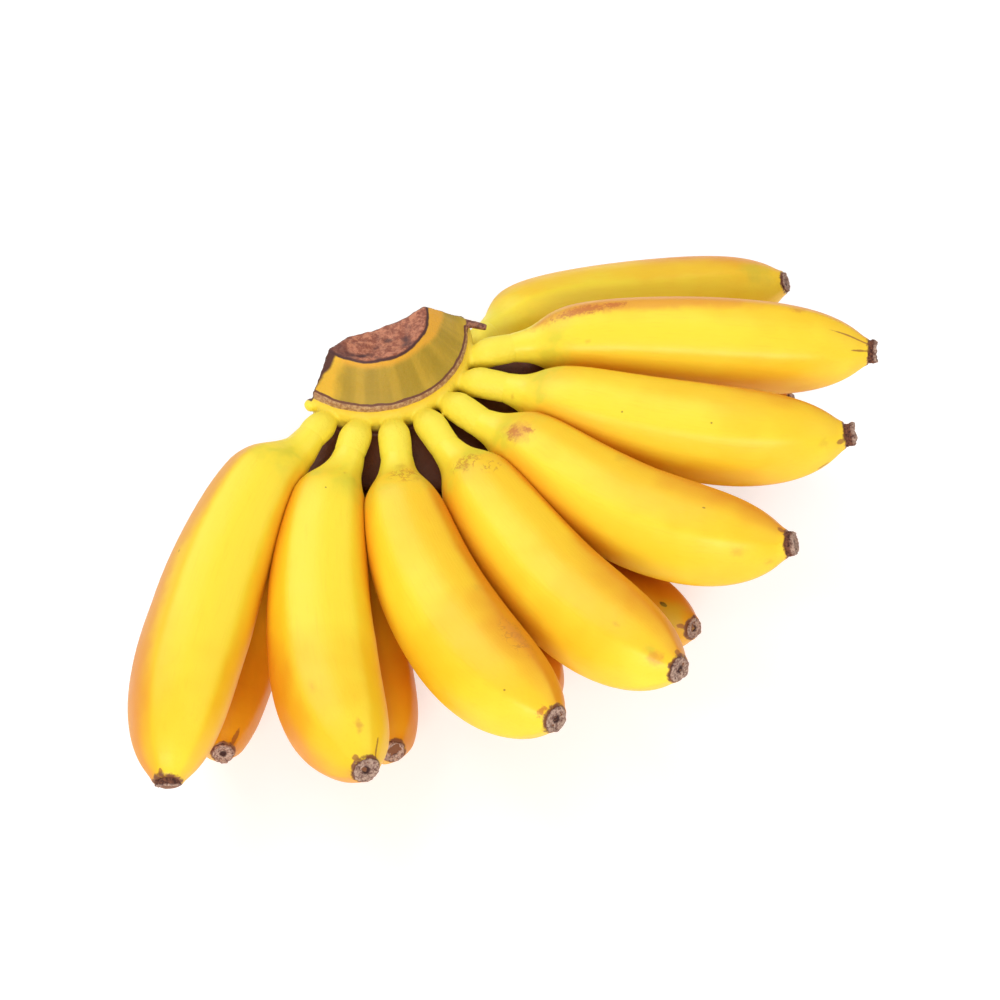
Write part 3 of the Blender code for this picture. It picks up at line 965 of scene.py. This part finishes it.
def crownMaterial():
    form = crownForm
    mix = Recipe("crown_flesh")
    shade = shadesOf({**peelShades, **crownShades})
    place = mix.object

    def behindCut(cut):
        # how far a place lies behind the plane of one of the cuts at the back
        cutPlace, cutTurn = cut
        turned = math.radians(cutTurn)
        offset = mix.vectors("SUBTRACT", place, tuple(value * mm for value in cutPlace))[0]
        return mix.vectors("DOT_PRODUCT", offset, (-math.sin(turned), math.cos(turned), 0))["Value"]

    def within(value, band, unit=mm):
        start, full = crownBands[band]
        return mix.between(value, start * unit, full * unit)

    degree = math.radians(1)
    x, _, z = mix.parts(place)
    wobble = mix.noise(place, 4, 3)
    offAxis = mix.vectors("SUBTRACT", place, tuple(value * mm for value in (*form["axis"], 0)))[0]
    aside, back, _ = mix.parts(offAxis)
    turn = mix.maths("ARCTAN2", aside, mix.both(back, -1.0))
    fromAxis = mix.length(mix.vectors("MULTIPLY", offAxis, (1, 1, 0))[0])
    # streaks run up the wall
    streakPlace = mix.add("CombineXYZ", {0: mix.both(turn, 0.012), 2: mix.both(z, 0.08)}).outputs[0]
    streaks = mix.noise(streakPlace, 2.4, 2)
    wall = mix.blend(within(streaks, "streaks", 1), shade["wallDark"], shade["wallLight"])
    edge = mix.vectors("SUBTRACT", place, tuple(value * mm for value in form["scoopCentre"]))[0]
    depth = mix.maths("SUBTRACT", mix.length(edge), form["scoopRadius"] * mm)
    depth = mix.maths("MULTIPLY_ADD", wobble, 1.2 * mm, depth)
    # orange along the cut, more of it towards the right, and over the left end
    towardsEnd = mix.maths("MAXIMUM", mix.maths("ADD", turn, -0.25), 0)
    tint = mix.maths("MULTIPLY_ADD", towardsEnd, -5 * mm, depth)
    wall = mix.blend(within(tint, "wallEdge"), wall, shade["wallEdge"])
    leftEnd = mix.maths("MULTIPLY_ADD", wobble, 0.25, turn)
    wall = mix.blend(mix.both(within(leftEnd, "leftEnd", degree), 0.8), wall, shade["leftEnd"])
    # collar and stalks below the scar
    level = mix.maths("MULTIPLY_ADD", wobble, 0.6 * mm, z)
    inside = within(fromAxis, "inside")
    collar = mix.blend(within(fromAxis, "collar"), shade["collar"], shade["neck"])
    colour = mix.blend(mix.both(inside, within(level, "wall")), collar, wall)
    # the scar: a tan band with a dark line above it
    grain = mix.noise(place, 0.9, 4, 0.65)
    tan = mix.blend(within(grain, "scarGrain", 1), shade["scarDark"], shade["scarLight"])
    leftwards = mix.maths("MINIMUM", mix.maths("MULTIPLY_ADD", x, 0.035, 0.35 * mm), 0)
    lowEdge = mix.maths("SUBTRACT", level, leftwards)
    scar = mix.both(within(lowEdge, "scarStart"), within(level, "scarEnd"))
    colour = mix.blend(mix.both(inside, scar), colour, tan)
    line = mix.both(within(level, "lineStart"), within(level, "lineEnd"))
    colour = mix.blend(mix.both(inside, line), colour, shade["line"])
    # painted shade: dark brown between the two rows of stalks, where the gaps lie in shadow
    paintedGapShade = mix.both(within(level, "gapShadeStart"), within(level, "gapShadeEnd"))
    colour = mix.blend(mix.both(paintedGapShade, within(turn, "gapShadeTurn", degree)), colour, shade["paintedGapShade"])
    # the cut: mottled brown with a dark rim
    mottle = mix.noise(place, 2.2, 5, 0.75, 0.4)
    cut = mix.blend(within(mottle, "cutGrain", 1), shade["cutDark"], shade["cutLight"])
    cut = mix.blend(mix.both(within(x, "cutLeft"), 0.7), cut, shade["cutLeft"])
    # the left end of the wall is dried where it meets the cut at the back
    leftCut = behindCut(form["backCuts"][0])
    reach = mix.maths("MULTIPLY_ADD", within(z, "leftRimGrows"), 2 * mm, leftCut)
    leftRim = within(mix.maths("MULTIPLY_ADD", wobble, 2 * mm, reach), "leftRim")
    colour = mix.blend(mix.both(leftRim, within(z, "leftRimStart")), colour, shade["leftRim"])
    colour = mix.blend(within(depth, "rim"), colour, shade["rim"])
    colour = mix.blend(within(depth, "cut"), colour, cut)
    # the two planes of the cut at the back
    backCut = mix.blend(within(mottle, "backGrain", 1), shade["backDark"], shade["backLight"])
    inCrown = within(fromAxis, "inCrown")
    for plane in form["backCuts"]:
        behind = within(mix.maths("MULTIPLY_ADD", wobble, 0.8 * mm, behindCut(plane)), "behind")
        colour = mix.blend(mix.both(behind, inCrown), colour, backCut)
    # the dried sliver at the right end of the scar
    onSliver = mix.both(within(fromAxis, "sliverRadius"), within(z, "sliverHeight"))
    onSliver = mix.both(onSliver, within(turn, "sliverTurn", degree))
    dried = mix.blend(within(grain, "backGrain", 1), shade["sliverDark"], shade["sliverLight"])
    colour = mix.blend(onSliver, colour, dried)
    normal = mix.bump(grain, 0.25, mix.bump(streaks, 0.15))
    return mix.finish(colour, 0.55, normal, Subsurface_Weight=0.05, Subsurface_Scale=mm)


# Camera, light and floor; the camera's azimuth counts from the front towards the right
view = {
    "target": (0.5, 7.9, 30),
    "azimuth": -33,
    "elevation": 55,
    "distance": 583,
    "lens": 70,
    "sensor": 36,
}
studio = {
    "worldLight": 0.42,
    "floorSize": 6,             # metres
    "floorDrop": 0.2,           # keeps it clear of the skin that rests on it
    "floorShade": (0.6, 0.6, 0.6, 1),
    "floorGlow": 0.55,
    "floorRoughness": 0.9,
    "white": (1, 1, 1, 1),
}
lights = {
    # place in metres, size, power, tint
    "key_light": ((-0.72, -0.90, 0.84), 0.6, 11, (1.0, 0.99, 0.97)),
    "fill_light": ((0.9, -0.3, 0.9), 1.0, 2.5, (0.97, 0.98, 1.0)),
    "top_light": ((-0.1, 0.9, 1.1), 1.0, 9, (1.0, 1.0, 1.0)),
}


def setStage():
    putDown()
    back = heading(view["azimuth"], view["elevation"])
    target = Vector(view["target"]) * mm
    bpy.ops.object.camera_add(
        location=target + back * view["distance"] * mm, rotation=back.to_track_quat("Z", "Y").to_euler()
    )
    camera = bpy.context.object
    camera.data.lens = view["lens"]
    camera.data.sensor_width = view["sensor"]
    bpy.context.scene.camera = camera
    for name, (place, size, power, tint) in lights.items():
        bpy.ops.object.light_add(
            type="AREA", location=place, rotation=(Vector(place) - target).to_track_quat("Z", "Y").to_euler()
        )
        light = bpy.context.object
        light.name = name
        light.data.size = size
        light.data.energy = power
        light.data.color = tint
    world = bpy.data.worlds.new("studio")
    world.use_nodes = True
    background = world.node_tree.nodes["Background"].inputs
    background["Color"].default_value = studio["white"]
    background["Strength"].default_value = studio["worldLight"]
    bpy.context.scene.world = world
    bpy.context.scene.view_settings.view_transform = "Standard"
    bpy.ops.mesh.primitive_plane_add(size=studio["floorSize"], location=(0, 0, -studio["floorDrop"] * mm))
    floor = newPiece("floor")
    mix = Recipe("floor")
    mix.put(mix.shader.inputs["Base Color"], studio["floorShade"])
    mix.put(mix.shader.inputs["Emission Color"], studio["white"])
    mix.put(mix.shader.inputs["Emission Strength"], studio["floorGlow"])
    mix.put(mix.shader.inputs["Roughness"], studio["floorRoughness"])
    floor.data.materials.append(mix.material)


def dress(piece, material, nodeName):
    piece.data.materials.clear()
    piece.data.materials.append(material)
    pickUp(piece)
    bpy.ops.object.shade_smooth()
    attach(piece, "root")
    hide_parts(nodeName)


seedStep = 1.7


def main():
    setStage()
    master = modelBanana()
    bananas = [bendBanana(master, name, finger) for name, finger in fingers.items()]
    bpy.data.objects.remove(master)
    print("bananas bent to their places")
    pressTogether(bananas)
    print("bananas pressed together")
    for number, (name, banana) in enumerate(zip(fingers, bananas), 1):
        dress(banana, peelMaterial(name, number * seedStep, fingers[name]), name)
    tipMaster = modelTip()
    dried = driedMaterial()
    for name, finger in fingers.items():
        tip = placeTip(tipMaster, name, finger)
        dress(tip, dried, name.replace("banana", "tip"))
    bpy.data.objects.remove(tipMaster)
    print("tips in place")
    dress(modelCrown(), crownMaterial(), "crown")
    print("crown done")
    putDown()


main()
